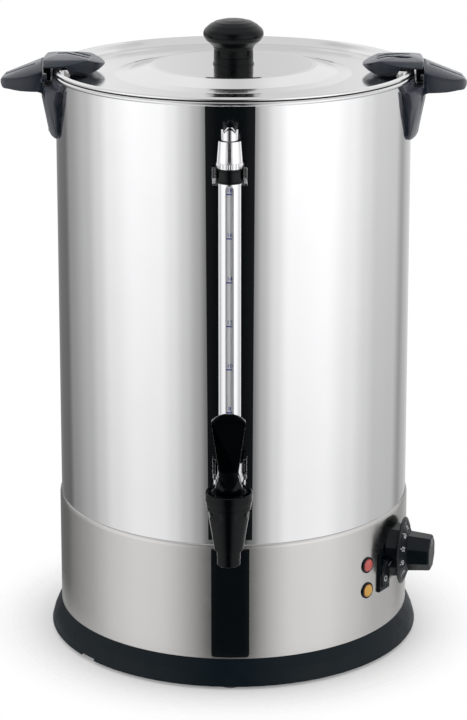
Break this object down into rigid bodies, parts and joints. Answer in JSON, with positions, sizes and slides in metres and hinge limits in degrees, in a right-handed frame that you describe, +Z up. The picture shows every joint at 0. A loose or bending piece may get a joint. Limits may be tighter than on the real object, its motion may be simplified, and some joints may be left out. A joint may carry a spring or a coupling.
{
  "type": "hot water urn",
  "caption": "Free-standing hot water urn: polished steel tank on a satin base, black side handles, twist-lock lid, tube level gauge, lever tap, dial thermostat, rocker switch and lamps.",
  "frame": {"origin": "centre of the base, on the surface that the feet stand on", "axes": "+Z up along the tank's axis, -Y towards the front with the tap, +X to the right"},
  "size_m": [0.3666, 0.3624, 0.497],
  "materials": {
    "base_ring": "moulded satin plastic",
    "bottom_plate": "zinc plated sheet",
    "base_screws": "plated screws",
    "feet": "grey rubber",
    "cord_gland": "moulded black bush",
    "lower_housing": "satin stainless steel",
    "tank_ledge": "plated ring",
    "front_strip_upper": "gloss black trim",
    "front_strip_lower": "gloss black trim",
    "tank": "polished stainless steel",
    "heat_spreader": "cast plate",
    "heating_element": "sheathed element",
    "keep_warm_element": "sheathed element",
    "element_clamp": "pressed sheet",
    "clamp_nut": "plated stud and nut",
    "thermostat_body": "plated case",
    "thermostat_boss": "moulded black",
    "thermostat_shaft": "plated steel",
    "thermostat_knob": "moulded black",
    "switch_body": "moulded black",
    "switch_rocker": "moulded black",
    "lamp_bezels": "moulded black",
    "heating_lamp": "translucent red lens",
    "keep_warm_lamp": "translucent amber lens",
    "boil_dry_cutout": "moulded black",
    "reset_button": "red plastic",
    "terminal_block": "ceramic terminals",
    "handle_left": "moulded satin black",
    "handle_right": "moulded satin black",
    "handle_screws": "stainless screws",
    "lid": "polished stainless steel",
    "lid_seal": "black silicone",
    "lid_knob": "moulded satin black",
    "knob_spacer": "moulded satin black",
    "knob_screw": "plated screw",
    "lid_catch_left": "moulded satin black",
    "lid_catch_right": "moulded satin black",
    "catch_rivets": "stainless rivets",
    "gauge_guard": "chromed tube",
    "gauge_glass": "clear tube",
    "gauge_cap": "chromed metal",
    "gauge_nut": "chromed metal",
    "gauge_clamp": "black sleeve",
    "gauge_bracket": "chromed metal",
    "gauge_tee": "chromed metal",
    "gauge_seals": "silicone rings",
    "tap_body": "gloss black plastic",
    "tap_bonnet": "gloss black plastic",
    "tap_lever": "gloss black plastic",
    "lever_pin": "stainless pin",
    "valve_stem": "stainless stem",
    "seat_cup": "silicone cup",
    "shank_seals": "silicone washers",
    "shank_nut": "plated nut"
  },
  "bodies": {
    "urn": {"base_ring": "base_ring", "bottom_plate": "bottom_plate", "base_screws": "base_screws", "feet": "feet", "cord_gland": "cord_gland", "lower_housing": "lower_housing", "tank_ledge": "tank_ledge", "front_strip_upper": "front_strip_upper", "front_strip_lower": "front_strip_lower", "tank": "tank", "heat_spreader": "heat_spreader", "heating_element": "heating_element", "keep_warm_element": "keep_warm_element", "element_clamp": "element_clamp", "clamp_nut": "clamp_nut", "thermostat_body": "thermostat_body", "thermostat_boss": "thermostat_boss", "switch_body": "switch_body", "lamp_bezels": "lamp_bezels", "heating_lamp": "heating_lamp", "keep_warm_lamp": "keep_warm_lamp", "boil_dry_cutout": "boil_dry_cutout", "terminal_block": "terminal_block", "handle_left": "handle_left", "handle_right": "handle_right", "handle_screws": "handle_screws", "gauge_guard": "gauge_guard", "gauge_glass": "gauge_glass", "gauge_cap": "gauge_cap", "gauge_nut": "gauge_nut", "gauge_clamp": "gauge_clamp", "gauge_bracket": "gauge_bracket", "gauge_tee": "gauge_tee", "gauge_seals": "gauge_seals", "tap_body": "tap_body", "tap_bonnet": "tap_bonnet", "shank_seals": "shank_seals", "shank_nut": "shank_nut"},
    "seal": {"lid_seal": "lid_seal"},
    "lid": {"lid": "lid", "lid_knob": "lid_knob", "knob_spacer": "knob_spacer", "knob_screw": "knob_screw", "lid_catch_left": "lid_catch_left", "lid_catch_right": "lid_catch_right", "catch_rivets": "catch_rivets"},
    "stem": {"valve_stem": "valve_stem", "seat_cup": "seat_cup", "lever_pin": "lever_pin"},
    "lever": {"tap_lever": "tap_lever"},
    "dial": {"thermostat_knob": "thermostat_knob", "thermostat_shaft": "thermostat_shaft"},
    "rocker": {"switch_rocker": "switch_rocker"},
    "reset": {"reset_button": "reset_button"}
  },
  "joints": [
    {"name": "lid_lift", "type": "slide", "parent": "urn", "child": "seal", "axis": [0, 0, 1], "range_m": [0, 0.1]},
    {"name": "lid_turn", "type": "hinge", "parent": "seal", "child": "lid", "pos_m": [0, 0, 0.4588], "axis": [0, 0, 1], "range_deg": [0, 8]},
    {"name": "stem_lift", "type": "slide", "parent": "urn", "child": "stem", "axis": [0, 0, 1], "range_m": [0, 0.003], "stiffness_N_per_m": 300, "springref_m": -0.003},
    {"name": "tap_turn", "type": "hinge", "parent": "stem", "child": "lever", "pos_m": [0, -0.196, 0.1844], "axis": [1, 0, 0], "range_deg": [0, 40]},
    {"name": "thermostat_turn", "type": "hinge", "parent": "urn", "child": "dial", "pos_m": [0.12931, -0.05622, 0.08], "axis": [-0.9703, 0.2419, 0], "range_deg": [0, 270]},
    {"name": "switch_tilt", "type": "hinge", "parent": "urn", "child": "rocker", "pos_m": [0.11762, -0.07407, 0.0695], "axis": [-0.5329, -0.8462, 0], "range_deg": [0, 24]},
    {"name": "reset_press", "type": "slide", "parent": "urn", "child": "reset", "axis": [0, 0, 1], "range_m": [0, 0.002], "stiffness_N_per_m": 400, "springref_m": -0.002}
  ],
  "couplings": [
    {"joint": "tap_turn", "follows": "stem_lift", "rad_per_m": 232.71}
  ]
}
